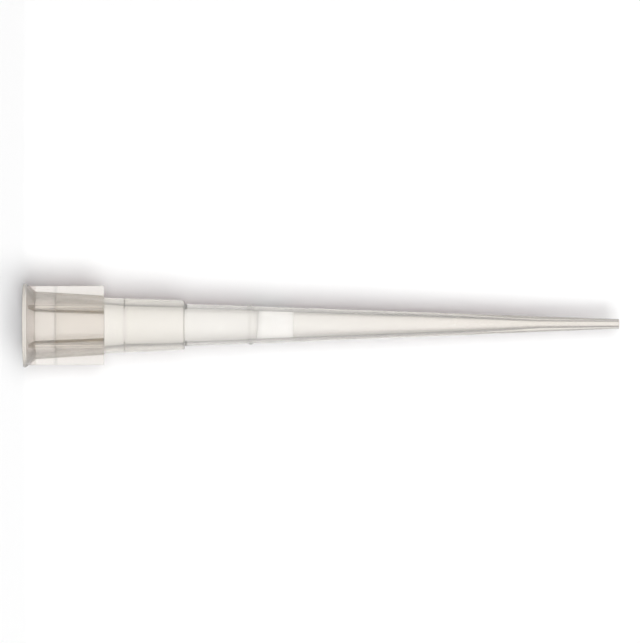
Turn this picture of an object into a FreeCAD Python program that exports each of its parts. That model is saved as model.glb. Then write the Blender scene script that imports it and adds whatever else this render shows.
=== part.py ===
"""Filter pipette tip: one moulded polypropylene tip and the porous plug seated in its bore.

The tip stands on the rim of its collar, mouth down. The origin is the centre of the rim plane,
+Z runs along the axis to the orifice, and the first rib lies on +X. Sizes are in millimetres.
"""
import FreeCAD, Part
import math
import os

# ---- Driving dimensions: the outside, from the rim to the orifice -------------------------------
RIM_DIAMETER = 7.15          # widest part of the collar
LIP_HEIGHT = 0.25            # straight band round the rim
FLARE_HEIGHT = 0.82          # conical collar between the lip and the hub
HUB_LENGTH = 5.85            # ribbed hub, from the flare to its square shoulder
BODY_LENGTH = 6.87           # smooth body, from the hub's shoulder to the step
CONE_LENGTH = 37.21          # slender cone, from the step to the orifice
CONE_START_DIAMETER = 3.644  # cone at the step
CONE_END_DIAMETER = 0.825    # cone at the orifice
STEP_EDGE_RADIUS = 0.17      # edge of the body at the step

# ---- Driving dimensions: the nozzle socket and the rest of the bore -----------------------------
SEAL_DIAMETER = 4.06         # cylindrical land that seals on the pipette's nozzle
SEAL_LENGTH = 1.50
LEAD_IN_LENGTH = 1.70        # straight-sided entry between the flare and the land
LEAD_IN_STEP = 0.30          # shoulder where the entry meets the land, radially
LEAD_IN_DRAFT = 1.7          # degrees a side
SOCKET_CONE_LENGTH = 4.31    # tapered socket beyond the land
SOCKET_END_DIAMETER = 3.38
CORE_STEP = 0.04             # small radial steps where the sections of the core pin meet
CORE_STEP_HEIGHT = 0.05
BODY_BORE_DRAFT = 1.23       # degrees a side
CONE_BORE_SETBACK = 0.21     # the cone's bore starts this far beyond the outer step
THROAT_LENGTH = 7.70         # steeper bore ahead of the capillary
CAPILLARY_LENGTH = 6.80
CAPILLARY_DIAMETER = 0.50    # where the throat ends
ORIFICE_DIAMETER = 0.40

# ---- Driving dimensions: walls, radially --------------------------------------------------------
RIM_FACE_WIDTH = 0.215       # flat face the tip stands on, and the lip's wall
COLLAR_WALL = 0.49           # hub wall at the flare
SHOULDER_WALL = 0.71         # hub wall at its shoulder
BODY_START_WALL = 0.58       # body wall beside the hub's shoulder
BODY_END_WALL = 0.57         # body wall at the step
CONE_WALL = 0.355            # cone wall, even from the step to the throat

# ---- Driving dimensions: ribs, bead and plug ----------------------------------------------------
RIB_COUNT = 6
RIB_SETBACK = 0.195          # the ribs' edges lie this far inside the rim
RIB_EDGE_THICKNESS = 0.31
RIB_DRAFT = 8.0              # degrees a side, so a rib thickens towards its root
RIB_EDGE_RADIUS = 0.05
BEAD_DISTANCE = 5.66         # from the step to the middle of the graduation bead
BEAD_WIDTH = 0.28
BEAD_HEIGHT = 0.14           # how far the bead stands out of the cone
BEAD_SIDE = 0.08             # length of each sloping side
PLUG_DISTANCE = 6.23         # from the step to the middle of the plug's rear face
PLUG_LENGTH = 3.02
PLUG_REAR_TILT = 4.5         # degrees: the plug's rear face lies slightly askew in the bore
PLUG_FRONT_TILT = 1.4
PLUG_CLEARANCE = 0.0         # the plug's skin lies on the bore


# ---- Stations along the axis --------------------------------------------------------------------
FLARE_END = LIP_HEIGHT + FLARE_HEIGHT
HUB_END = FLARE_END + HUB_LENGTH
BODY_END = HUB_END + BODY_LENGTH
TIP_LENGTH = BODY_END + CONE_LENGTH
SEAL_START = FLARE_END + LEAD_IN_LENGTH
SEAL_END = SEAL_START + SEAL_LENGTH
SOCKET_END = SEAL_END + SOCKET_CONE_LENGTH
CONE_BORE_START = BODY_END + CONE_BORE_SETBACK
BEAD_MIDDLE = BODY_END + BEAD_DISTANCE
CAPILLARY_START = TIP_LENGTH - CAPILLARY_LENGTH
THROAT_START = CAPILLARY_START - THROAT_LENGTH
PLUG_START = BODY_END + PLUG_DISTANCE


def slope(degrees):
    """Radial change for each millimetre of length at this angle from the axis."""
    return math.tan(math.radians(degrees))


def radius_on_line(z, start, end):
    """Radius at height z on the straight line between two (radius, z) points."""
    share = (z - start[1]) / (end[1] - start[1])
    return start[0] + share * (end[0] - start[0])


def cone_radius(z):
    """Outer radius of the slender cone, without its bead."""
    return radius_on_line(
        z, (CONE_START_DIAMETER / 2, BODY_END), (CONE_END_DIAMETER / 2, TIP_LENGTH)
    )


def bore_outline():
    """The bore's (radius, z, edge radius) points, from the rim to the orifice."""
    seal = SEAL_DIAMETER / 2
    entry = seal + LEAD_IN_STEP
    socket_end = SOCKET_END_DIAMETER / 2
    body_start = socket_end - CORE_STEP
    body_end = body_start - slope(BODY_BORE_DRAFT) * (BODY_END - SOCKET_END)
    core_joint = BEAD_MIDDLE + BEAD_WIDTH / 2
    return [
        (RIM_DIAMETER / 2 - RIM_FACE_WIDTH, 0.0, 0.0),
        (RIM_DIAMETER / 2 - RIM_FACE_WIDTH, LIP_HEIGHT, 0.0),
        (entry + slope(LEAD_IN_DRAFT) * LEAD_IN_LENGTH, FLARE_END, 0.0),
        (entry, SEAL_START, 0.0),
        (seal, SEAL_START, 0.0),
        (seal, SEAL_END, 0.0),
        (socket_end, SOCKET_END, 0.0),
        (body_start, SOCKET_END + CORE_STEP_HEIGHT, 0.0),
        (body_end, BODY_END, 0.0),
        (cone_radius(CONE_BORE_START) - CONE_WALL, CONE_BORE_START, 0.0),
        (cone_radius(core_joint) - CONE_WALL + CORE_STEP / 2, core_joint, 0.0),
        (
            cone_radius(core_joint + CORE_STEP_HEIGHT) - CONE_WALL - CORE_STEP / 2,
            core_joint + CORE_STEP_HEIGHT,
            0.0,
        ),
        (cone_radius(THROAT_START) - CONE_WALL, THROAT_START, 0.0),
        (CAPILLARY_DIAMETER / 2, CAPILLARY_START, 0.0),
        (ORIFICE_DIAMETER / 2, TIP_LENGTH, 0.0),
    ]


def bore_radius(z):
    """Radius of the bore at height z."""
    outline = bore_outline()
    for start, end in zip(outline, outline[1:]):
        if start[1] < z <= end[1]:
            return radius_on_line(z, start, end)
    return outline[-1][0]


def bead_outline():
    """The graduation bead's points: a low ring with sloping sides that stands on the cone."""
    low = BEAD_MIDDLE - BEAD_WIDTH / 2
    high = BEAD_MIDDLE + BEAD_WIDTH / 2
    crest = cone_radius(BEAD_MIDDLE) + BEAD_HEIGHT
    return [
        (cone_radius(low), low, 0.0),
        (crest, low + BEAD_SIDE, 0.0),
        (crest, high - BEAD_SIDE, 0.0),
        (cone_radius(high), high, 0.0),
    ]


def outer_outline():
    """The outside's (radius, z, edge radius) points, from the rim to the orifice."""
    collar = SEAL_DIAMETER / 2 + LEAD_IN_STEP + slope(LEAD_IN_DRAFT) * LEAD_IN_LENGTH
    return [
        (RIM_DIAMETER / 2, 0.0, 0.0),
        (RIM_DIAMETER / 2, LIP_HEIGHT, 0.0),
        (collar + COLLAR_WALL, FLARE_END, 0.0),
        (bore_radius(HUB_END) + SHOULDER_WALL, HUB_END, 0.0),
        (bore_radius(HUB_END) + BODY_START_WALL, HUB_END, 0.0),
        (bore_radius(BODY_END) + BODY_END_WALL, BODY_END, STEP_EDGE_RADIUS),
        (CONE_START_DIAMETER / 2, BODY_END, 0.0),
        *bead_outline(),
        (CONE_END_DIAMETER / 2, TIP_LENGTH, 0.0),
    ]


def on_profile(radius, z):
    """A point of a turned profile, drawn in the XZ plane."""
    return FreeCAD.Vector(radius, 0, z)


def rounded_edges(corners):
    """Lines through these (point, edge radius) corners, with a tangent arc at each rounded one."""
    edges = []
    at = corners[0][0]
    for index in range(1, len(corners)):
        corner, edge_radius = corners[index]
        if edge_radius > 0 and index + 1 < len(corners):
            back = (corners[index - 1][0] - corner).normalize()
            ahead = (corners[index + 1][0] - corner).normalize()
            half_angle = back.getAngle(ahead) / 2
            reach = edge_radius / math.tan(half_angle)
            middle = (back + ahead).normalize()
            centre = corner + middle * (edge_radius / math.sin(half_angle))
            edges.append(Part.LineSegment(at, corner + back * reach).toShape())
            on_arc = centre - middle * edge_radius
            at = corner + ahead * reach
            edges.append(Part.Arc(corner + back * reach, on_arc, at).toShape())
        else:
            edges.append(Part.LineSegment(at, corner).toShape())
            at = corner
    return edges


def turned(outline):
    """The solid of revolution between this outline and the axis."""
    corners = [(on_profile(radius, z), edge) for radius, z, edge in outline]
    foot = on_profile(0, outline[0][1])
    top = on_profile(0, outline[-1][1])
    corners = [(foot, 0.0)] + corners + [(top, 0.0), (foot, 0.0)]
    face = Part.Face(Part.Wire(rounded_edges(corners)))
    return face.revolve(FreeCAD.Vector(0, 0, 0), FreeCAD.Vector(0, 0, 1), 360)


def rib(index):
    """One hub rib: a drafted blade from the collar to the hub's shoulder."""
    root = SEAL_DIAMETER / 2
    edge = RIM_DIAMETER / 2 - RIB_SETBACK
    half_edge = RIB_EDGE_THICKNESS / 2
    half_root = half_edge + slope(RIB_DRAFT) * (edge - root)
    corners = [
        (FreeCAD.Vector(root, -half_root, LIP_HEIGHT), 0.0),
        (FreeCAD.Vector(edge, -half_edge, LIP_HEIGHT), RIB_EDGE_RADIUS),
        (FreeCAD.Vector(edge, half_edge, LIP_HEIGHT), RIB_EDGE_RADIUS),
        (FreeCAD.Vector(root, half_root, LIP_HEIGHT), 0.0),
        (FreeCAD.Vector(root, -half_root, LIP_HEIGHT), 0.0),
    ]
    section = Part.Face(Part.Wire(rounded_edges(corners)))
    blade = section.extrude(FreeCAD.Vector(0, 0, HUB_END - LIP_HEIGHT))
    turn = 360.0 * index / RIB_COUNT
    blade.rotate(FreeCAD.Vector(0, 0, 0), FreeCAD.Vector(0, 0, 1), turn)
    return blade


def tip_body():
    """The moulded tip: the turned outside with its ribs, and the whole bore cut through them."""
    outside = turned(outer_outline())
    ribs = [rib(index) for index in range(RIB_COUNT)]
    return outside.fuse(ribs).cut(turned(bore_outline())).removeSplitter()


def half_space_below(z, tilt):
    """A block that fills everything under a plane through the axis at z, tilted about Y."""
    side = 4 * CONE_START_DIAMETER
    block = Part.makeBox(side, side, side, FreeCAD.Vector(-side / 2, -side / 2, z - side))
    block.rotate(FreeCAD.Vector(0, 0, z), FreeCAD.Vector(0, 1, 0), tilt)
    return block


def filter_plug():
    """The porous plug: what fills the bore between its two faces."""
    outline = [
        (radius - PLUG_CLEARANCE, z, edge_radius) for radius, z, edge_radius in bore_outline()
    ]
    below_front = half_space_below(PLUG_START + PLUG_LENGTH, PLUG_FRONT_TILT)
    below_rear = half_space_below(PLUG_START, PLUG_REAR_TILT)
    return turned(outline).common(below_front).cut(below_rear)


def main():
    """Build each sub-part and write it to its own STEP file."""
    os.makedirs("parts", exist_ok=True)
    for node, build in (("tip_body", tip_body), ("filter_plug", filter_plug)):
        shape = build().Solids[0]
        shape.exportStep("parts/" + node + ".step")
        box = shape.BoundBox
        print(
            f"{node}: valid {shape.isValid()}, {shape.Volume:.3f} mm3, "
            f"{box.XLength:.3f} x {box.YLength:.3f} x {box.ZLength:.3f} mm"
        )


main()
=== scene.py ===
"""Dressed model of a filter pipette tip: a cloudy moulded body and the white porous plug in its bore.

The tip stands on the rim of its collar with the orifice on top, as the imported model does. Profiles are
written in millimetres as (radius, height) corners and turned about the Z axis. Meshes are in metres.
"""

import logging
import math
from dataclasses import dataclass, field
from enum import Enum

import bpy
import numpy as np
from mathutils import Matrix, Vector


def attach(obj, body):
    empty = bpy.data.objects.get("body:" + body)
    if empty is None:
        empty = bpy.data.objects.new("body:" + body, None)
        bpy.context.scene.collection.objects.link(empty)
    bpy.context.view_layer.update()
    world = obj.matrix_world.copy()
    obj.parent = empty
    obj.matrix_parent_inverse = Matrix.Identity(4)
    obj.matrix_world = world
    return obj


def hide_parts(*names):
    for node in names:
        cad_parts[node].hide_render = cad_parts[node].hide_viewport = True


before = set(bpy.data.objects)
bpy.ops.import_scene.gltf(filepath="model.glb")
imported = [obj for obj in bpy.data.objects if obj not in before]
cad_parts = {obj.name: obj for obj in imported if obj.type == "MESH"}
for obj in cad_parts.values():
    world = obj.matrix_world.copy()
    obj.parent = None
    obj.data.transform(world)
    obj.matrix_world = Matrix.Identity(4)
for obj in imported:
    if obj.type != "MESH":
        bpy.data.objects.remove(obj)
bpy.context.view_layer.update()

MM = 0.001  # one millimetre in metres
BODY = "root"
OUTSIDE = "outside"  # mesh attribute: 1 on the tip's outside, 0 in its bore
STRAIGHT = 89.5  # half angle in degrees past which two runs count as one straight line
SAME = 1e-6  # heights less than this many millimetres apart count as one
LATTICE = 32  # random numbers along each side of the lattice

log = logging.getLogger("pipette_tip")

Corner = tuple[float, float, float]  # radius, height and edge radius, in millimetres
Colour = tuple[float, float, float]
Pair = tuple[float, float]
Piece = bpy.types.Object
Socket = bpy.types.NodeSocket
Tree = bpy.types.NodeTree


class Blend(Enum):
    """How two numbers are joined in a material."""

    ADD = "ADD"
    TIMES = "MULTIPLY"
    LARGER = "MAXIMUM"
    POWER = "POWER"
    LESS = "LESS_THAN"
    SIZE = "ABSOLUTE"


# ---- Surfaces ----


def rounded(corners: list[Corner], steps: int = 5) -> np.ndarray:
    """Points of a profile whose corners are eased by arcs.

    A corner with edge radius e is left at a distance e * tan(turn / 2) on both sides, where turn is the
    angle between its two runs, and an arc of radius e about the centre between them joins those points.

    Args:
        corners: the profile's corners in order.
        steps: pieces in each arc.

    Returns:
        An array of (radius, height) rows.
    """
    at = np.array(corners)[:, :2]
    points = [at[:1]]
    for index in range(1, len(corners) - 1):
        here, ease = at[index], corners[index][2]
        back = at[index - 1] - here
        ahead = at[index + 1] - here
        back /= np.linalg.norm(back)
        ahead /= np.linalg.norm(ahead)
        half = math.acos(float(np.clip(back @ ahead, -1.0, 1.0))) / 2
        if ease <= 0 or half > math.radians(STRAIGHT):
            points.append(here[None])
            continue
        reach = ease / math.tan(half)
        middle = (back + ahead) / np.linalg.norm(back + ahead)
        centre = here + middle * ease / math.sin(half)
        start, end = here + back * reach - centre, here + ahead * reach - centre
        sweep = math.pi - 2 * half
        share = np.linspace(0.0, 1.0, steps + 1)[:, None]
        arc = (np.sin((1 - share) * sweep) * start + np.sin(share * sweep) * end) / math.sin(sweep)
        points.append(centre + arc)
    points.append(at[-1:])
    return np.concatenate(points)


def divided(points: np.ndarray, longest: float, margin: float = 0.0) -> np.ndarray:
    """The same profile with every run cut into equal pieces no longer than a limit.

    A run of more than four margins also gets a point one margin from each of its ends, so that the
    smooth shading of an eased corner stops there.

    Args:
        points: (radius, height) rows.
        longest: the longest piece allowed, in millimetres.
        margin: length of the extra piece at both ends of a run, in millimetres.

    Returns:
        More (radius, height) rows on the same lines.
    """
    along = []
    for index, run in enumerate(np.linalg.norm(np.diff(points, axis=0), axis=1)):
        count = max(1, math.ceil(run / longest))
        near = margin / run if run > 4 * margin > 0 else 0.0
        along.append(index + np.unique([*np.arange(count) / count, near, (1 - near) % 1]))
    where = np.append(np.concatenate(along), len(points) - 1)
    order = np.arange(len(points))
    return np.stack([np.interp(where, order, points[:, k]) for k in (0, 1)], axis=1)


def grid_faces(rows: int, columns: int, closed: bool) -> np.ndarray:
    """Corner numbers of the quads of a grid whose columns run round.

    Quad (i, j) joins points (i, j), (i, j + 1), (i + 1, j + 1) and (i + 1, j), counted modulo columns,
    and modulo rows where the grid also closes on itself lengthways.

    Args:
        rows: rings in the grid.
        columns: points in each ring.
        closed: True if the last ring joins the first.

    Returns:
        An array of four corner numbers per quad.
    """
    i = np.arange(rows if closed else rows - 1)[:, None]
    j = np.arange(columns)[None, :]
    ahead, beside = (i + 1) % rows, (j + 1) % columns
    quads = [i * columns + j, i * columns + beside, ahead * columns + beside, ahead * columns + j]
    return np.stack(np.broadcast_arrays(*quads), axis=-1).reshape(-1, 4)


def mesh_object(name: str, points: np.ndarray, faces: list[np.ndarray], sharp: float) -> Piece:
    """Puts points and faces into a smooth-shaded object with crisp edges where it turns sharply.

    Args:
        name: the object's name.
        points: corner positions in millimetres, one row each.
        faces: arrays of corner numbers, each with one face size.
        sharp: the angle in degrees past which an edge stays crisp.

    Returns:
        The new object, at the origin, in metres.
    """
    mesh = bpy.data.meshes.new(name)
    sizes = np.concatenate([np.full(len(part), part.shape[1]) for part in faces])
    corners = np.concatenate([part.ravel() for part in faces])
    mesh.vertices.add(len(points))
    mesh.vertices.foreach_set("co", (points * MM).astype(np.float32).ravel())
    mesh.loops.add(len(corners))
    mesh.loops.foreach_set("vertex_index", corners.astype(np.int32))
    mesh.polygons.add(len(sizes))
    starts = np.concatenate([[0], np.cumsum(sizes)[:-1]])
    mesh.polygons.foreach_set("loop_start", starts.astype(np.int32))
    mesh.polygons.foreach_set("loop_total", sizes.astype(np.int32))
    mesh.polygons.foreach_set("use_smooth", np.ones(len(sizes), dtype=bool))
    mesh.update(calc_edges=True)
    mesh.validate()
    mesh.set_sharp_from_angle(angle=math.radians(sharp))
    piece = bpy.data.objects.new(name, mesh)
    bpy.context.scene.collection.objects.link(piece)
    log.info("%s: %d faces", name, len(mesh.polygons))
    return piece


def value_noise(points: np.ndarray, cell: float, seed: int) -> np.ndarray:
    """Smooth random heights from -1 to 1 at points in space.

    Each corner of a cubic lattice with the given cell holds a random number, and a point takes the mix
    of the eight round it, eased by t * t * (3 - 2 * t) along each axis.

    Args:
        points: positions, one row each.
        cell: the lattice's cell, in the same unit.
        seed: number that fixes the random draw.

    Returns:
        One height per point.
    """
    lattice = np.random.default_rng(seed).uniform(-1, 1, (LATTICE,) * 3)
    place = points / cell
    low = np.floor(place).astype(int)
    ease = place - low
    ease = ease * ease * (3 - 2 * ease)
    total = np.zeros(len(points))
    for corner in np.ndindex(2, 2, 2):
        step = np.array(corner)
        weight = np.prod(np.where(step == 1, ease, 1 - ease), axis=1)
        total += weight * lattice[tuple(((low + step) % LATTICE).T)]
    return total


# ---- Shader building blocks ----


class Nodes:
    """A thin pen for one node tree."""

    def __init__(self, tree: Tree) -> None:
        """Keeps the tree that the nodes go into."""
        self.tree = tree

    def add(self, kind: str, **settings: object) -> bpy.types.Node:
        """Adds a node of this kind and sets its attributes."""
        node = self.tree.nodes.new(kind)
        for key, value in settings.items():
            setattr(node, key, value)
        return node

    def put(self, socket: Socket, value: object) -> None:
        """Gives a socket a link, if value is an output, or a plain value."""
        if isinstance(value, Socket):
            self.tree.links.new(value, socket)
        elif isinstance(value, tuple) and socket.type == "RGBA":
            socket.default_value = (*value[:3], 1.0)
        else:
            socket.default_value = value

    def fill(self, node: bpy.types.Node, values: dict[str | int, object]) -> bpy.types.Node:
        """Gives several inputs of a node a link or a plain value, and returns the node."""
        for key, value in values.items():
            self.put(node.inputs[key], value)
        return node

    def maths(self, how: Blend, left: object, right: object) -> Socket:
        """Joins two numbers and returns the result's output."""
        node = self.add("ShaderNodeMath", operation=how.value)
        return self.fill(node, {0: left, 1: right}).outputs[0]

    def between(self, value: object, low: Pair, high: Pair = (0.0, 1.0)) -> Socket:
        """Maps a number smoothly from the range low to the range high.

        Args:
            value: the number or output to map.
            low: the range it comes from.
            high: the range it goes to.

        Returns:
            The mapped output, eased at both ends and held outside the range.
        """
        node = self.add("ShaderNodeMapRange", interpolation_type="SMOOTHSTEP")
        return self.fill(node, dict(enumerate((value, *low, *high)))).outputs["Result"]

    def mix_numbers(self, share: object, first: object, second: object) -> Socket:
        """Mixes two numbers and returns the result's output."""
        node = self.add("ShaderNodeMix")
        return self.fill(node, {0: share, 2: first, 3: second}).outputs[0]

    def mix_colours(self, share: object, first: object, second: object) -> Socket:
        """Mixes two colours and returns the result's output."""
        node = self.add("ShaderNodeMix", data_type="RGBA")
        return self.fill(node, {0: share, 6: first, 7: second}).outputs[2]

    def mix_shaders(self, share: object, first: object, second: object) -> Socket:
        """Mixes two shaders and returns the result's output."""
        node = self.add("ShaderNodeMixShader")
        return self.fill(node, {0: share, 1: first, 2: second}).outputs[0]

    def place(self) -> Socket:
        """The point's Object coordinates, in metres."""
        return self.add("ShaderNodeTexCoord").outputs["Object"]

    def axis(self, name: str) -> Socket:
        """The X, Y or Z of the point's Object coordinates."""
        return self.fill(self.add("ShaderNodeSeparateXYZ"), {0: self.place()}).outputs[name]

    def slant(self) -> Socket:
        """How far the surface turns away from the ray, as 1 - cosine."""
        return self.fill(self.add("ShaderNodeLayerWeight"), {"Blend": 0.5}).outputs["Facing"]

    def bump(self, relief: float, height: object) -> Socket:
        """A normal bent by a height, one unit of which is this relief in millimetres."""
        node = self.add("ShaderNodeBump")
        return self.fill(node, {"Distance": relief * MM, "Height": height}).outputs["Normal"]

    def grain(self, group: Tree, size: float, slow: float) -> bpy.types.Node:
        """The shared surface group with these sizes in millimetres."""
        node = self.add("ShaderNodeGroup", node_tree=group)
        return self.fill(node, {"Size": size * MM, "Slow Size": slow * MM})


def new_material(name: str) -> tuple[bpy.types.Material, Nodes, bpy.types.Node]:
    """An empty node material.

    Args:
        name: the material's name.

    Returns:
        The material, a pen for its tree and its output node.
    """
    material = bpy.data.materials.new(name)
    material.use_nodes = True
    material.node_tree.nodes.clear()
    pen = Nodes(material.node_tree)
    return material, pen, pen.add("ShaderNodeOutputMaterial")


GRAIN_SIZES = {"Size": 0.1, "Slow Size": 4.0}  # in millimetres, where a finish gives none
GRAIN_LAYERS = ((1.0, 2.0), (4.0, 1.0))  # each noise's size against the given one, and its detail
SLOW_DETAIL = 2.0  # detail of the slow noise
MASK_RANGE = (0.35, 0.65)  # the part of the slow noise that the mask spreads from 0 to 1


def surface_grain() -> Tree:
    """The shared group that both finishes take their fine surface from.

    It reads Object coordinates in metres. Height is noise at the given size plus noise four times
    coarser, and Mask is noise at the slow size, spread from 0 to 1.

    Returns:
        The node group, with inputs Size and Slow Size and outputs Height and Mask.
    """
    group = bpy.data.node_groups.new("surface_grain", "ShaderNodeTree")
    for name, size in GRAIN_SIZES.items():
        socket = group.interface.new_socket(name, in_out="INPUT", socket_type="NodeSocketFloat")
        socket.default_value = size * MM
    for name in ("Height", "Mask"):
        group.interface.new_socket(name, in_out="OUTPUT", socket_type="NodeSocketFloat")
    pen = Nodes(group)
    given = pen.add("NodeGroupInput").outputs
    layers = [(pen.maths(Blend.TIMES, given["Size"], share), detail) for share, detail in GRAIN_LAYERS]
    noises = []
    for size, detail in (*layers, (given["Slow Size"], SLOW_DETAIL)):
        scale = pen.maths(Blend.POWER, size, -1.0)
        noise = pen.add("ShaderNodeTexNoise")
        pen.fill(noise, {"Vector": pen.place(), "Scale": scale, "Detail": detail})
        noises.append(noise.outputs["Fac"])
    *heights, slow = noises
    mask = pen.between(slow, MASK_RANGE)
    pen.fill(pen.add("NodeGroupOutput"), {"Height": pen.maths(Blend.ADD, *heights), "Mask": mask})
    return group


@dataclass(frozen=True)
class PaintedShadeLine:
    """A painted shade line at a step of the wall: its height and half width in millimetres, and how strong.
    """

    height: float
    spread: float
    share: float


@dataclass(frozen=True)
class CloudyPolypropylene:
    """Natural polypropylene as moulded: clear enough to see through, a little warm, with a soft haze."""

    name: str = "translucent_polypropylene"
    colour: Colour = (0.94, 0.931, 0.92)
    # painted shade: the colour darkens towards the orifice, standing in for the shadow behind the thin end
    end_shade_colour: Colour = (0.925, 0.901, 0.876)  # at the orifice
    hub_colour: Colour = (0.905, 0.878, 0.856)
    # painted shade: the flare and lip at the tip's foot are darker, standing in for a contact shadow
    flare_shade_colour: Colour = (0.815, 0.772, 0.74)
    lip_shade_colour: Colour = (0.84, 0.81, 0.765)
    index: float = 1.49
    roughness: Pair = (0.05, 0.09)
    hub_roughness: float = 0.24
    absorbed: Colour = (0.60, 0.45, 0.14)
    density: float = 130.0  # per metre
    haze: float = 0.12  # share of the light that the plastic scatters back
    shadow_face: Colour = (0.055, 0.0, 0.01)
    shadow_edge: Colour = (0.035, 0.0, 0.005)
    shadow_mouth: Colour = (0.21, 0.20, 0.21)  # for light that gets in by the mouth
    shadow_power: float = 2.0  # how the slant leads from a face's shadow to an edge's
    far: float = 5.6  # shadow rays longer than this, in millimetres, come from outside the tip
    ripple: float = 0.0003  # height of the fine moulding marks, in millimetres
    ripple_size: float = 0.12  # and their size
    gloss_size: float = 5.0  # size of patches of one roughness, in millimetres
    shade_line_colour: Colour = (0.52, 0.515, 0.50)  # painted shade: the dark line where the wall steps

    def make(self, grain: Tree, stations: dict[str, float], shade_lines: tuple[PaintedShadeLine, ...]) -> bpy.types.Material:
        """Builds the material.

        Args:
            grain: the shared surface group.
            stations: heights in metres of the lip, the ends of the flare, hub, body and tip, and the
                mouth's reach.
            shade_lines: the painted shade lines round the tip, at the steps of its wall.

        Returns:
            The finished material.
        """
        material, pen, output = new_material(self.name)
        fine = pen.grain(grain, self.ripple_size, self.gloss_size)
        up = pen.axis("Z")
        on_hub = pen.maths(Blend.LESS, up, stations["hub"])
        # painted shade: the plastic's colour darkens from the body's towards the orifice
        along = pen.between(up, (stations["body"], stations["orifice"]))
        colour = pen.mix_colours(along, self.colour, self.end_shade_colour)
        colour = pen.mix_colours(on_hub, colour, self.hub_colour)
        # painted shade: darker colour at the flare and at the lip
        for end, below in (("flare", self.flare_shade_colour), ("lip", self.lip_shade_colour)):
            colour = pen.mix_colours(pen.maths(Blend.LESS, up, stations[end]), colour, below)
        # painted shade: each line darkens the colour where the wall steps
        for wall_step in shade_lines:
            apart = pen.maths(Blend.SIZE, pen.maths(Blend.ADD, up, -wall_step.height * MM), 0.0)
            share = pen.between(apart, (0.0, wall_step.spread * MM), (wall_step.share, 0.0))
            colour = pen.mix_colours(share, colour, self.shade_line_colour)
        plain = pen.between(fine.outputs["Mask"], (0.0, 1.0), self.roughness)
        looks = {
            "Base Color": colour,
            "Roughness": pen.mix_numbers(on_hub, plain, self.hub_roughness),
            "Normal": pen.bump(self.ripple, fine.outputs["Height"]),
            "IOR": self.index,
            "Transmission Weight": 1 - self.haze,
        }
        plastic = pen.fill(pen.add("ShaderNodeBsdfPrincipled"), looks).outputs[0]
        shadow_ray = pen.add("ShaderNodeLightPath").outputs["Is Shadow Ray"]
        inside = pen.add("ShaderNodeVolumeAbsorption")
        pen.fill(inside, {"Color": self.absorbed, "Density": self.density})
        surface = pen.mix_shaders(shadow_ray, plastic, self.shade(pen, up, stations["mouth"]))
        pen.fill(output, {"Surface": surface, "Volume": inside.outputs[0]})
        return material

    def shade(self, pen: Nodes, up: Socket, mouth: float) -> Socket:
        """What the plastic lets pass of a shadow ray.

        One that enters from outside is mostly stopped and one inside goes free, except that light from
        the mouth is weakened where it leaves below a given height.

        Args:
            pen: the material's pen.
            up: the height's output.
            mouth: that given height, in metres.

        Returns:
            The shader's output.
        """
        slant = pen.maths(Blend.POWER, pen.slant(), self.shadow_power)
        stopped = pen.mix_colours(slant, self.shadow_face, self.shadow_edge)
        leaving = pen.add("ShaderNodeNewGeometry").outputs["Backfacing"]
        outside = pen.add("ShaderNodeAttribute", attribute_name=OUTSIDE).outputs["Fac"]
        entering = pen.maths(Blend.TIMES, outside, pen.maths(Blend.LESS, leaving, 0.5))
        length = pen.add("ShaderNodeLightPath").outputs["Ray Length"]
        low = pen.maths(Blend.LESS, up, mouth)
        by_mouth = pen.maths(Blend.TIMES, leaving, outside)
        for test in (low, pen.maths(Blend.LESS, self.far * MM, length)):
            by_mouth = pen.maths(Blend.TIMES, by_mouth, test)
        passed = pen.mix_colours(by_mouth, (1.0, 1.0, 1.0), self.shadow_mouth)
        clear = pen.add("ShaderNodeBsdfTransparent")
        return pen.fill(clear, {"Color": pen.mix_colours(entering, passed, stopped)}).outputs[0]


@dataclass(frozen=True)
class SinteredPolyethylene:
    """White porous plastic: fused beads with pin pores between them, whose shade is painted darker."""

    name: str = "porous_polyethylene"
    colour: Colour = (0.71, 0.715, 0.725)
    # painted shade in the pores between the beads
    pore_shade_colour: Colour = (0.66, 0.665, 0.675)
    scatter: float = 1.8  # how far light spreads in it, in millimetres
    roughness: Pair = (0.75, 0.95)
    index: float = 1.5
    bead: float = 0.11  # size of one fused bead, in millimetres
    bead_fusion: float = 0.35  # how softly neighbouring beads join, up to 1
    pore_range: Pair = (0.45, 0.8)  # distance from a bead's middle, in beads
    relief: float = 0.012
    relief_size: float = 0.03  # size of the finest relief, in millimetres
    relief_share: float = 0.12  # its height as a share of the beads'
    patch_size: float = 0.8  # size of patches of one roughness, in millimetres

    def make(self, grain: Tree) -> bpy.types.Material:
        """Builds the material.

        Args:
            grain: the shared surface group.

        Returns:
            The finished material.
        """
        material, pen, output = new_material(self.name)
        beads = pen.add("ShaderNodeTexVoronoi", feature="SMOOTH_F1")
        scale = 1 / (self.bead * MM)
        pen.fill(beads, {"Vector": pen.place(), "Scale": scale, "Smoothness": self.bead_fusion})
        apart = beads.outputs["Distance"]
        fine = pen.grain(grain, self.relief_size, self.patch_size)
        # painted shade: darker between the beads, in the pores
        pore_shade = pen.between(apart, self.pore_range)
        deep = pen.maths(Blend.TIMES, apart, -1.0)
        soft = pen.maths(Blend.TIMES, fine.outputs["Height"], self.relief_share)
        looks = {
            "Base Color": pen.mix_colours(pore_shade, self.colour, self.pore_shade_colour),
            "Roughness": pen.between(fine.outputs["Mask"], (0.0, 1.0), self.roughness),
            "Normal": pen.bump(self.relief, pen.maths(Blend.ADD, deep, soft)),
            "IOR": self.index,
            "Subsurface Weight": 1.0,
            "Subsurface Radius": (1.0, 1.0, 1.0),
            "Subsurface Scale": self.scatter * MM,
        }
        plastic = pen.fill(pen.add("ShaderNodeBsdfPrincipled"), looks)
        pen.put(output.inputs["Surface"], plastic.outputs[0])
        return material


# ---- The moulded body ----


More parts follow.
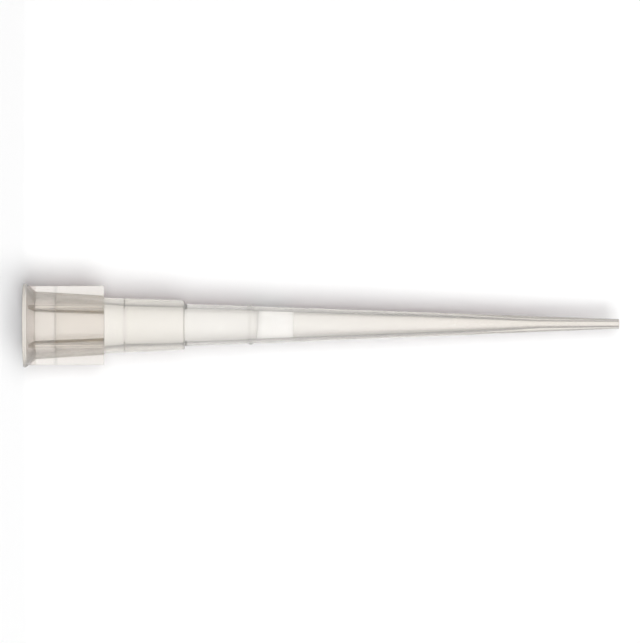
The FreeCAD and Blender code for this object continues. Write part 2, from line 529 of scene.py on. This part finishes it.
@dataclass
class TipBody:
    """The moulded body: collar, ribbed hub, stepped body, long cone and the bore right through them."""

    # heights of the stations along the axis, in millimetres
    lip: float = 0.25
    flare_end: float = 1.07
    hub_end: float = 6.92
    body_end: float = 13.79
    length: float = 51.0
    # the outside
    rim_radius: float = 3.575
    collar_radius: float = 2.870
    shoulder_radius: float = 2.518
    body_start_radius: float = 2.388
    body_end_radius: float = 2.109
    cone_start_radius: float = 1.822
    cone_end_radius: float = 0.4125
    step_edge: float = 0.17
    bead_middle: float = 19.45
    bead_width: float = 0.28
    bead_spread: float = 0.31  # half length of its eased swell
    bead_height: float = 0.10
    # the bore
    rim_face: float = 0.215
    entry_radius: float = 2.330
    entry_wide_radius: float = 2.380
    seal_start: float = 2.77
    seal_end: float = 4.27
    seal_radius: float = 2.03
    socket_end: float = 8.58
    socket_end_radius: float = 1.69
    core_step: float = 0.04
    core_step_height: float = 0.08
    body_bore_end_radius: float = 1.539
    cone_bore_start: float = 14.0
    cone_wall: float = 0.355
    throat_start: float = 36.5
    capillary_start: float = 44.2
    capillary_radius: float = 0.25
    orifice_radius: float = 0.20
    mouth_reach: float = 2.2  # light that gets in by the mouth leaves through the wall below this
    # the ribs
    ribs: int = 6
    rib_edge_radius: float = 3.38
    rib_half_thickness: float = 0.155
    rib_draft: float = 8.0
    rib_corner: float = 0.05
    # radii of the eased corners
    lip_ease: float = 0.03
    edge_ease: float = 0.03
    seal_ease: float = 0.03
    flare_ease: float = 0.12
    throat_ease: float = 4.0
    orifice_ease: float = 0.02
    # fineness
    bead_points: int = 17
    rib_arc_points: int = 5
    rib_side_shares: tuple[float, ...] = (0.33, 0.67, 1.0)  # points down a rib's side
    rib_least: float = 1e-4  # a rib lower than this is left out
    arc_columns: int = 21
    longest_run: float = 1.0
    flare_run: float = 0.04  # the longest run where ribs grow out of the flare
    corner_margin: float = 0.02
    sharp_angle: float = 32.0

    def cone_radius(self, height: float) -> float:
        """Outer radius of the plain cone, which narrows evenly from the step to the orifice."""
        share = (height - self.body_end) / (self.length - self.body_end)
        return self.cone_start_radius + share * (self.cone_end_radius - self.cone_start_radius)

    def bore_corners(self) -> list[Corner]:
        """Corners of the bore's profile, from the orifice down to the rim."""
        ease = self.edge_ease
        wall_step = self.bead_middle + self.bead_width / 2
        after = wall_step + self.core_step_height
        body_start = self.socket_end_radius - self.core_step
        half_step = self.core_step / 2
        rising = [
            (self.rim_radius - self.rim_face, 0.0, ease),
            (self.rim_radius - self.rim_face, self.lip, ease),
            (self.entry_wide_radius, self.flare_end, self.flare_ease),
            (self.entry_radius, self.seal_start, ease),
            (self.seal_radius, self.seal_start, self.seal_ease),
            (self.seal_radius, self.seal_end, 0.0),
            (self.socket_end_radius, self.socket_end, 0.0),
            (body_start, self.socket_end + self.core_step_height, 0.0),
            (self.body_bore_end_radius, self.body_end, 0.0),
            (self.cone_radius(self.cone_bore_start) - self.cone_wall, self.cone_bore_start, 0.0),
            (self.cone_radius(wall_step) - self.cone_wall + half_step, wall_step, 0.0),
            (self.cone_radius(after) - self.cone_wall - half_step, after, 0.0),
            (self.cone_radius(self.throat_start) - self.cone_wall, self.throat_start, self.throat_ease),
            (self.capillary_radius, self.capillary_start, self.throat_ease),
            (self.orifice_radius, self.length, self.orifice_ease),
        ]
        return rising[::-1]

    def outer_corners(self) -> list[Corner]:
        """Corners of the outside's profile without the ribs, from the rim up to the orifice."""
        bead = []
        for part in np.linspace(-1.0, 1.0, self.bead_points):
            height = self.bead_middle + part * self.bead_spread
            proud = self.bead_height * math.cos(part * math.pi / 2) ** 2
            bead.append((self.cone_radius(height) + proud, height, 0.0))
        return [
            (self.rim_radius, 0.0, self.lip_ease),
            (self.rim_radius, self.lip, self.lip_ease),
            (self.collar_radius, self.flare_end, self.flare_ease),
            (self.shoulder_radius, self.hub_end, self.edge_ease),
            (self.body_start_radius, self.hub_end, self.edge_ease),
            (self.body_end_radius, self.body_end, self.step_edge),
            (self.cone_start_radius, self.body_end, self.edge_ease),
            *bead,
            (self.cone_end_radius, self.length, self.orifice_ease),
        ]

    def section_profile(self) -> np.ndarray:
        """The closed profile of the wall, as (radius, height) rows.

        It climbs the outside from the middle of the rim's face, crosses the orifice's face and comes
        back down the bore, and its last point joins its first.

        Returns:
            The rows, finer where ribs grow out of the flare.
        """
        start = (self.rim_radius - self.rim_face / 2, 0.0, 0.0)
        corners = [start, *self.outer_corners(), *self.bore_corners(), start]
        points = divided(rounded(corners), self.longest_run, self.corner_margin)
        first = int(np.argmax(points[:, 1] >= self.lip))
        last = int(np.argmax(points[:, 1] >= self.flare_end))
        flare = divided(points[first : last + 2], self.flare_run)
        return np.concatenate([points[:first], flare, points[last + 2 : -1]])

    def half_rib(self, circle: np.ndarray, inset: np.ndarray) -> tuple[np.ndarray, np.ndarray]:
        """One half of a rib's cross-section on each ring, from its middle to its root.

        The edge face lies at x = edge, the side is the line y = half + slope * (edge - x), an arc
        joins them, and the root is where that line meets the ring's circle x * x + y * y = r * r.

        Args:
            circle: each ring's radius r.
            inset: how far the rib shrinks on each ring, where its end is eased.

        Returns:
            x and y arrays with one row per ring.
        """
        slope = math.tan(math.radians(self.rib_draft))
        edge = self.rib_edge_radius - inset
        half = self.rib_half_thickness - inset
        sweep = math.radians(90 - self.rib_draft)
        reach = self.rib_corner * math.tan(sweep / 2)
        turn = np.linspace(0.0, sweep, self.rib_arc_points)
        arc_x = (edge - self.rib_corner)[:, None] + self.rib_corner * np.cos(turn)
        arc_y = (half - reach)[:, None] + self.rib_corner * np.sin(turn)
        cut = half + slope * edge
        inner = (cut * slope) ** 2 - (1 + slope**2) * (cut**2 - circle**2)
        root_x = (cut * slope + np.sqrt(np.maximum(inner, 0.0))) / (1 + slope**2)
        root_x = np.minimum(root_x, arc_x[:, -1])
        root_y = cut - slope * root_x
        share = np.array(self.rib_side_shares)
        side_x = arc_x[:, -1:] + (root_x[:, None] - arc_x[:, -1:]) * share
        side_y = arc_y[:, -1:] + (root_y[:, None] - arc_y[:, -1:]) * share
        x = np.concatenate([edge[:, None], arc_x, side_x], axis=1)
        y = np.concatenate([np.zeros_like(edge)[:, None], arc_y, side_y], axis=1)
        return x, y

    def rings(self) -> np.ndarray:
        """All points of the body, as rings of the closed profile.

        Between the lip and the shoulder a ring is the circle with six ribs standing on it, elsewhere
        it is the plain circle. Each sixth of a ring is a half rib, an arc, and their mirror image.

        Returns:
            An array of rings, columns and coordinates in millimetres.
        """
        profile = self.section_profile()
        circle, height = profile.T
        outside = np.arange(len(profile)) < int(np.argmax(height >= self.length - SAME))
        shoulder = outside & (np.abs(height - self.hub_end) < SAME)
        top = int(np.flatnonzero(shoulder)[0])
        on_hub = outside & (height > self.lip) & (np.arange(len(profile)) <= top)
        climb = np.clip(height - (self.hub_end - self.edge_ease), 0.0, self.edge_ease)
        inset = np.where(on_hub, self.edge_ease - np.sqrt(self.edge_ease**2 - climb**2), 0.0)
        rib_x, rib_y = self.half_rib(circle, inset)
        plain_x, plain_y = self.half_rib(np.full(1, self.shoulder_radius), np.zeros(1))
        plain_turn = np.arctan2(plain_y, plain_x)
        corner = self.rib_arc_points  # the rib's last point before its side
        proud = on_hub & (circle < np.hypot(rib_x[:, corner], rib_y[:, corner]) - self.rib_least)
        turn = np.where(proud[:, None], np.arctan2(rib_y, rib_x), plain_turn)
        reach = np.where(proud[:, None], np.hypot(rib_x, rib_y), circle[:, None])
        share = np.arange(1, self.arc_columns + 1) / self.arc_columns
        half_turn = math.pi / self.ribs
        arc_turn = turn[:, -1:] + (half_turn - turn[:, -1:]) * share
        turn = np.concatenate([turn, arc_turn], axis=1)
        reach = np.concatenate([reach, np.repeat(circle[:, None], self.arc_columns, axis=1)], axis=1)
        turn = np.concatenate([turn, 2 * half_turn - turn[:, -2:0:-1]], axis=1)
        reach = np.concatenate([reach, reach[:, -2:0:-1]], axis=1)
        sector = 2 * half_turn * np.arange(self.ribs)
        turn = (sector[None, :, None] + turn[:, None, :]).reshape(len(profile), -1)
        reach = np.tile(reach, (1, self.ribs))
        lift = np.broadcast_to(height[:, None], turn.shape)
        return np.stack([reach * np.cos(turn), reach * np.sin(turn), lift], axis=-1)

    def build(self, finish: CloudyPolypropylene, grain: Tree) -> Piece:
        """Makes the body's mesh and dresses it.

        Args:
            finish: the plastic it is moulded from.
            grain: the shared surface group.

        Returns:
            The finished piece.
        """
        rings = self.rings()
        faces = grid_faces(rings.shape[0], rings.shape[1], closed=True)
        piece = mesh_object("moulded_body", rings.reshape(-1, 3), [faces], self.sharp_angle)
        top = int(np.argmax(rings[:, 0, 2] >= self.length - SAME))
        outside = np.repeat(np.arange(rings.shape[0]) <= top, rings.shape[1])
        layer = piece.data.attributes.new(OUTSIDE, "FLOAT", "POINT")
        layer.data.foreach_set("value", outside.astype(np.float32))
        stations = {
            "lip": self.lip * MM,
            "flare": self.flare_end * MM,
            "hub": (self.hub_end - self.edge_ease) * MM,
            "mouth": self.mouth_reach * MM,
            "body": self.body_end * MM,
            "orifice": self.length * MM,
        }
        # painted shade lines at the wall's steps
        shade_lines = (
            PaintedShadeLine(self.seal_start, spread=0.26, share=0.27),
            PaintedShadeLine(self.hub_end, spread=0.09, share=0.45),
            PaintedShadeLine(self.socket_end + self.core_step_height, spread=0.30, share=0.07),
            PaintedShadeLine(self.body_end - self.step_edge / 2, spread=0.12, share=1.0),
        )
        piece.data.materials.append(finish.make(grain, stations, shade_lines))
        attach(piece, BODY)
        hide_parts("tip_body")
        return piece


# ---- The filter plug ----


@dataclass
class FilterPlug:
    """The porous plug: a tapered cylinder pressed a little askew into the bore."""

    body: TipBody = field(default_factory=TipBody)
    start: float = 20.02
    length: float = 3.02
    rear_tilt: float = 4.5
    front_tilt: float = 1.4
    skin_gap: float = 0.02  # the plug's skin stands this far clear of the bore
    edge: float = 0.02
    grain_cell: float = 0.09
    grain_height: float = 0.006
    grain_seed: int = 11
    inner_share: float = 0.02  # the innermost ring's share of the radius
    face_rings: int = 16
    side_rings: int = 60
    edge_rings: int = 6
    columns: int = 180
    sharp_angle: float = 40.0

    def rings(self) -> np.ndarray:
        """The plug's points, as rings from the middle of its rear face to the middle of its front face.

        Along a ring the height is that of the rear or front plane, z0 - tan(tilt) * x, or on the side
        a straight mix of the two, and the radius is the bore's at that height less the skin's gap.

        Returns:
            An array of rings, columns and coordinates in millimetres.
        """
        turn = np.linspace(0.0, 2 * math.pi, self.columns, endpoint=False)[None, :]
        face = np.linspace(self.inner_share, 1.0, self.face_rings)
        side = np.linspace(0.0, 1.0, self.side_rings)
        ease = np.linspace(0.0, math.pi / 2, self.edge_rings)[1:-1]
        # share of the radius and of the length, with eased edges of radius self.edge
        full = self.body.cone_radius(self.start) - self.body.cone_wall
        flat = 1 - self.edge / full
        lip = self.edge / self.length
        rear_r = np.concatenate([face * flat, flat + (1 - flat) * np.sin(ease)])
        rear_t = np.concatenate([np.zeros(len(face)), lip * (1 - np.cos(ease))])
        side_t = lip + (1 - 2 * lip) * side
        radius = np.concatenate([rear_r, np.ones(len(side)), rear_r[::-1]])[:, None]
        along = np.concatenate([rear_t, side_t, 1 - rear_t[::-1]])[:, None]
        bore = self.body.cone_radius(self.start + self.length * along) - self.body.cone_wall
        reach = radius * (bore - self.body.core_step / 4 - self.skin_gap)
        x = reach * np.cos(turn)
        y = reach * np.sin(turn)
        rear = self.start - math.tan(math.radians(self.rear_tilt)) * x
        front = self.start + self.length - math.tan(math.radians(self.front_tilt)) * x
        z = rear + (front - rear) * along
        return np.stack([x, y, z], axis=-1)

    def build(self, finish: SinteredPolyethylene, grain: Tree) -> Piece:
        """Makes the plug's mesh, roughens it with fused grains and dresses it.

        Args:
            finish: the porous plastic.
            grain: the shared surface group.

        Returns:
            The finished piece.
        """
        rings = self.rings()
        rows, columns = rings.shape[:2]
        points = rings.reshape(-1, 3)
        middle = np.array([0.0, 0.0, self.start + self.length / 2])
        height = 1 - value_noise(points, self.grain_cell, self.grain_seed)
        outward = points - middle
        outward /= np.linalg.norm(outward, axis=1, keepdims=True)
        points = points + outward * (height * self.grain_height)[:, None]
        ends = np.array([rings[0].mean(axis=0), rings[-1].mean(axis=0)])
        rear = np.full(columns, len(points))
        points = np.concatenate([points, ends])
        j = np.arange(columns)
        beside = (j + 1) % columns
        last = (rows - 1) * columns
        rear_fan = np.stack([rear, beside, j], axis=1)
        front_fan = np.stack([rear + 1, last + j, last + beside], axis=1)
        quads = grid_faces(rows, columns, closed=False)
        piece = mesh_object("porous_plug", points, [quads, rear_fan, front_fan], self.sharp_angle)
        piece.data.materials.append(finish.make(grain))
        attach(piece, BODY)
        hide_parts("filter_plug")
        return piece


# ---- The stage ----


@dataclass
class Stage:
    """White floor, white board leaning just behind the tip, soft lamps and camera, in millimetres."""

    reach: float = 2000.0
    board_gap: float = 4.4  # from the tip's axis to the board, at the floor
    board_lean: float = 1.6  # the board leans towards the tip, in degrees
    board_glow: float = 0.03  # share of the board's white that no shadow takes
    floor_glow: float = 0.25
    shadow_reach: Pair = (60.0, 160.0)  # that share grows to all of it out here
    albedo: float = 0.945
    floor_gap: float = 0.005  # keeps the floor's face apart from the rim's
    floor_fade: Pair = (0.93, 0.955)  # the floor ends for rays this flat, as 1 - sine
    strip_low: Pair = (4.6, 8.2)  # lit strip behind the hub: half width, and where it ends
    strip_high: Pair = (0.9, 2.3)  # the same behind the orifice
    strip_edges: Pair = (0.47, 0.38)  # what is left beyond it, at the hub and the orifice
    strip_levels: Pair = (0.98, 0.85)  # its level behind the hub and behind the orifice
    strip_middle: float = -0.35  # the strip's middle lies this far towards +X
    beam: Pair = (0.20, 0.50)  # the strip fades for rays this askew, as 1 - cosine
    beam_edge: float = 0.75
    bounce_albedo: float = 0.0  # what the board and floor give back to each other and to the tip
    lamp_distance: float = 600.0
    key_angle: Pair = (15.9, 7.5)  # towards +X and towards +Z, in degrees
    key_half_angle: float = 17.2
    key_level: float = 0.70  # light that a white surface facing the key gives back
    counter_angle: Pair = (-8.4, 2.5)
    counter_half_angle: float = 15.1
    counter_level: float = 0.425
    world_level: float = 0.06
    floor_angle: Pair = (30.0, 60.0)  # towards +X, and above the floor, in degrees
    floor_half_angle: float = 12.0
    floor_level: float = 0.72
    plug_aside: Pair = (0.3, 0.2)  # towards +Y and +Z, for 1 towards -X or +X
    plug_half_angle: float = 20.0
    plug_levels: Pair = (0.97, 0.41)  # from -X and from +X
    camera_distance: float = 430.0
    camera_turn: float = -1.65
    camera_rise: float = -1.6
    camera_roll: float = 0.165
    aim: tuple[float, float, float] = (-0.27, 0.0, 25.37)
    scale: float = 0.0856  # millimetres across one of the frame's points
    frame_size: tuple[int, int] = (640, 643)
    sensor: float = 36.0  # width of the camera's sensor
    clip: Pair = (10.0, 5000.0)  # the camera sees nothing nearer or farther

    def seen_rays(self, pen: Nodes) -> tuple[Socket, Socket]:
        """Which rays show the stage to the camera rather than light it.

        Args:
            pen: the material's pen.

        Returns:
            Two outputs that are 1 for such rays: seen straight or in a gloss, and seen through plastic.
        """
        rays = pen.add("ShaderNodeLightPath")
        first = pen.maths(Blend.LESS, rays.outputs["Diffuse Depth"], 0.5)
        straight = pen.maths(Blend.LARGER, rays.outputs["Is Camera Ray"], rays.outputs["Is Glossy Ray"])
        through = pen.maths(Blend.TIMES, rays.outputs["Is Transmission Ray"], first)
        return pen.maths(Blend.TIMES, straight, first), through

    def strip(self, pen: Nodes) -> Socket:
        """How bright the board is where it is seen through plastic.

        It is a lit strip along the tip, which falls off to both sides and for rays that come askew.

        Args:
            pen: the material's pen.

        Returns:
            The level's output.
        """
        aside = pen.maths(Blend.ADD, pen.axis("X"), -self.strip_middle * MM)
        aside = pen.maths(Blend.SIZE, aside, 0.0)
        fades = [
            pen.between(aside, (near * MM, far * MM), (1.0, edge))
            for (near, far), edge in zip((self.strip_low, self.strip_high), self.strip_edges)
        ]
        along = pen.between(pen.axis("Z"), (0.0, 2 * self.aim[2] * MM))
        askew = pen.between(pen.slant(), self.beam, (1.0, self.beam_edge))
        level = pen.maths(Blend.TIMES, pen.mix_numbers(along, *self.strip_levels), askew)
        return pen.maths(Blend.TIMES, pen.mix_numbers(along, *fades), level)

    def stage_white(self, pen: Nodes, strip: bool) -> Socket:
        """The shader of a white surface that shows as background and still keeps a shadow.

        Seen directly or in a reflection it is glow of white plus (1 - glow) of a matt white that takes
        the shadow, and away from the tip it is all plain white. Seen through plastic it is plain white,
        or the lit strip, and for every other ray it is the matt white alone.

        Args:
            pen: the material's pen.
            strip: True for the board, which has the lit strip.

        Returns:
            The shader's output.
        """
        straight, through = self.seen_rays(pen)
        matt = pen.add("ShaderNodeBsdfDiffuse")
        bounced = pen.add("ShaderNodeLightPath").outputs["Is Diffuse Ray"]
        shown, given = (self.albedo,) * 3, (self.bounce_albedo,) * 3
        pen.put(matt.inputs["Color"], pen.mix_colours(bounced, shown, given))
        away = pen.add("ShaderNodeVectorMath", operation="DISTANCE")
        pen.fill(away, {0: pen.place(), 1: tuple(side * MM for side in self.aim)})
        reach = tuple(side * MM for side in self.shadow_reach)
        near = self.board_glow if strip else self.floor_glow
        glow = pen.between(away.outputs["Value"], reach, (near, 1.0))
        white = pen.add("ShaderNodeEmission").outputs[0]
        seen = pen.mix_shaders(pen.maths(Blend.TIMES, straight, glow), matt.outputs[0], white)
        behind = pen.add("ShaderNodeEmission")
        pen.put(behind.inputs["Strength"], self.strip(pen) if strip else 1.0)
        return pen.mix_shaders(through, seen, behind.outputs[0])

    def sheet(self, name: str, near: Pair, far: Pair, strip: bool) -> Piece:
        """A white sheet as wide as the stage, which casts no shadow itself.

        Args:
            name: its name.
            near: y and z of its first edge, in millimetres. Seen from its front, the other lies above.
            far: y and z of the other edge.
            strip: True for the board, which has the lit strip.

        Returns:
            The sheet, clear from behind if it is the board, else clear for rays that only skim it.
        """
        r = self.reach
        corners = np.array([(-r, *near), (r, *near), (r, *far), (-r, *far)])
        piece = mesh_object(name, corners, [np.arange(4)[None, :]], sharp=30.0)
        piece.visible_shadow = False
        material, pen, output = new_material(f"{name}_white")
        piece.data.materials.append(material)
        if strip:
            ending = pen.add("ShaderNodeNewGeometry").outputs["Backfacing"]
        else:
            ending = pen.between(pen.slant(), self.floor_fade)
        clear = pen.add("ShaderNodeBsdfTransparent").outputs[0]
        shown = pen.mix_shaders(ending, self.stage_white(pen, strip), clear)
        pen.put(output.inputs["Surface"], shown)
        return piece

    def floor(self) -> Piece:
        """The floor the tip stands on."""
        r, z = self.reach, -self.floor_gap
        return self.sheet("floor", (-r, z), (r, z), strip=False)

    def board(self) -> Piece:
        """The board behind the tip, which runs on below the floor."""
        r = self.reach
        lean = r * math.tan(math.radians(self.board_lean))
        return self.sheet("board", (self.board_gap + lean, -r), (self.board_gap - lean, r), strip=True)

    def world(self) -> None:
        """An even grey studio round the stage, white where the camera sees it."""
        world = bpy.data.worlds.new("studio")
        world.use_nodes = True
        world.node_tree.nodes.clear()
        pen = Nodes(world.node_tree)
        output = pen.add("ShaderNodeOutputWorld")
        seen = pen.maths(Blend.LARGER, *self.seen_rays(pen))
        light = pen.add("ShaderNodeBackground")
        level = pen.between(seen, (0.0, 1.0), (self.world_level, 1.0))
        pen.fill(light, {"Color": (1.0, 1.0, 1.0), "Strength": level})
        pen.put(output.inputs["Surface"], light.outputs[0])
        bpy.context.scene.world = world

    def lamp(
        self, name: str, towards: Vector, half_angle: float, level: float, lit: Piece | None = None
    ) -> None:
        """Sets up a round soft lamp that shines on the tip from one direction.

        A disc of this half angle gives a facing white surface the level L * sin(half)^2, with L its
        radiance, and Blender's power for radiance L is L * area * pi.

        Args:
            name: its name.
            towards: direction from the tip to the lamp.
            half_angle: how large it looks from the tip, in degrees.
            level: light that a white surface facing it gives back.
            lit: the only piece it lights, or None if it lights them all.
        """
        distance = self.lamp_distance * MM
        radius = distance * math.tan(math.radians(half_angle))
        radiance = level / math.sin(math.radians(half_angle)) ** 2
        light = bpy.data.lights.new(name, "AREA")
        light.shape = "DISK"
        light.size = 2 * radius
        light.energy = radiance * math.pi * radius**2 * math.pi
        lamp = bpy.data.objects.new(name, light)
        middle = Vector((0.0, 0.0, self.aim[2] * MM))
        lamp.location = middle + towards.normalized() * distance
        lamp.rotation_mode = "QUATERNION"
        lamp.rotation_quaternion = towards.to_track_quat("Z", "Y")
        lamp.visible_glossy = False
        lamp.visible_transmission = False
        bpy.context.scene.collection.objects.link(lamp)
        if lit:
            taking = bpy.data.collections.new(f"lit_by_{name}")
            taking.objects.link(lit)
            lamp.light_linking.receiver_collection = taking

    def lamps(self, floor: Piece, plug: Piece) -> None:
        """The key from the picture's lower right, a weaker counter light and three lamps with one task.

        Args:
            floor: the floor, which alone takes the lamp from above.
            plug: the filter plug, which alone takes the two lamps from its sides.
        """
        for name, angles, half_angle, level in (
            ("key", self.key_angle, self.key_half_angle, self.key_level),
            ("counter", self.counter_angle, self.counter_half_angle, self.counter_level),
        ):
            across, along = (math.tan(math.radians(angle)) for angle in angles)
            self.lamp(name, Vector((across, -1.0, along)), half_angle, level)
        turn, rise = (math.radians(angle) for angle in self.floor_angle)
        flat = math.cos(rise)
        above = Vector((math.sin(turn) * flat, -math.cos(turn) * flat, math.sin(rise)))
        self.lamp("above", above, self.floor_half_angle, self.floor_level / math.sin(rise), floor)
        for name, across, level in zip(("upper", "lower"), (-1.0, 1.0), self.plug_levels):
            self.lamp(name, Vector((across, *self.plug_aside)), self.plug_half_angle, level, plug)

    def camera(self) -> None:
        """Sets up the camera, which looks from in front and has the tip lying across the picture.

        Its right is the tip's +Z, turned by the roll towards +X. It stands camera_turn degrees round
        the axis and camera_rise degrees above the aim. The lens is set so that one point of the frame
        is scale millimetres.
        """
        data = bpy.data.cameras.new("camera")
        data.sensor_width = self.sensor
        data.lens = self.sensor * self.camera_distance / (max(self.frame_size) * self.scale)
        angles = (self.camera_turn, self.camera_rise, self.camera_roll)
        turn, rise, roll = (math.radians(angle) for angle in angles)
        level = math.cos(rise)
        back = Vector((math.sin(turn) * level, -math.cos(turn) * level, math.sin(rise)))
        down = Vector((math.cos(turn), math.sin(turn), 0.0))
        right = back.cross(down) * math.cos(roll) + down * math.sin(roll)
        up = back.cross(right)
        camera = bpy.data.objects.new("camera", data)
        where = (Vector(self.aim) + back * self.camera_distance) * MM
        axes = Matrix((right, up, back)).transposed().to_4x4()
        camera.matrix_world = Matrix.Translation(where) @ axes
        data.clip_start, data.clip_end = (distance * MM for distance in self.clip)
        bpy.context.scene.collection.objects.link(camera)
        bpy.context.scene.camera = camera

    def build(self, plug: Piece) -> None:
        """Sets the whole stage round the tip and its plug."""
        floor = self.floor()
        self.board()
        self.world()
        self.lamps(floor, plug)
        self.camera()
        bpy.context.scene.view_settings.view_transform = "Standard"


# ---- The whole ----


def main() -> None:
    """Builds the tip, its plug and the stage in order, and reports each piece."""
    logging.basicConfig(level=logging.INFO, format="%(message)s")
    grain = surface_grain()
    body = TipBody()
    pieces = [
        body.build(CloudyPolypropylene(), grain),
        FilterPlug(body).build(SinteredPolyethylene(), grain),
    ]
    Stage().build(pieces[-1])
    for piece in pieces:
        log.info("%s: %s mm", piece.name, [round(side / MM, 3) for side in piece.dimensions])


if __name__ == "__main__":
    main()
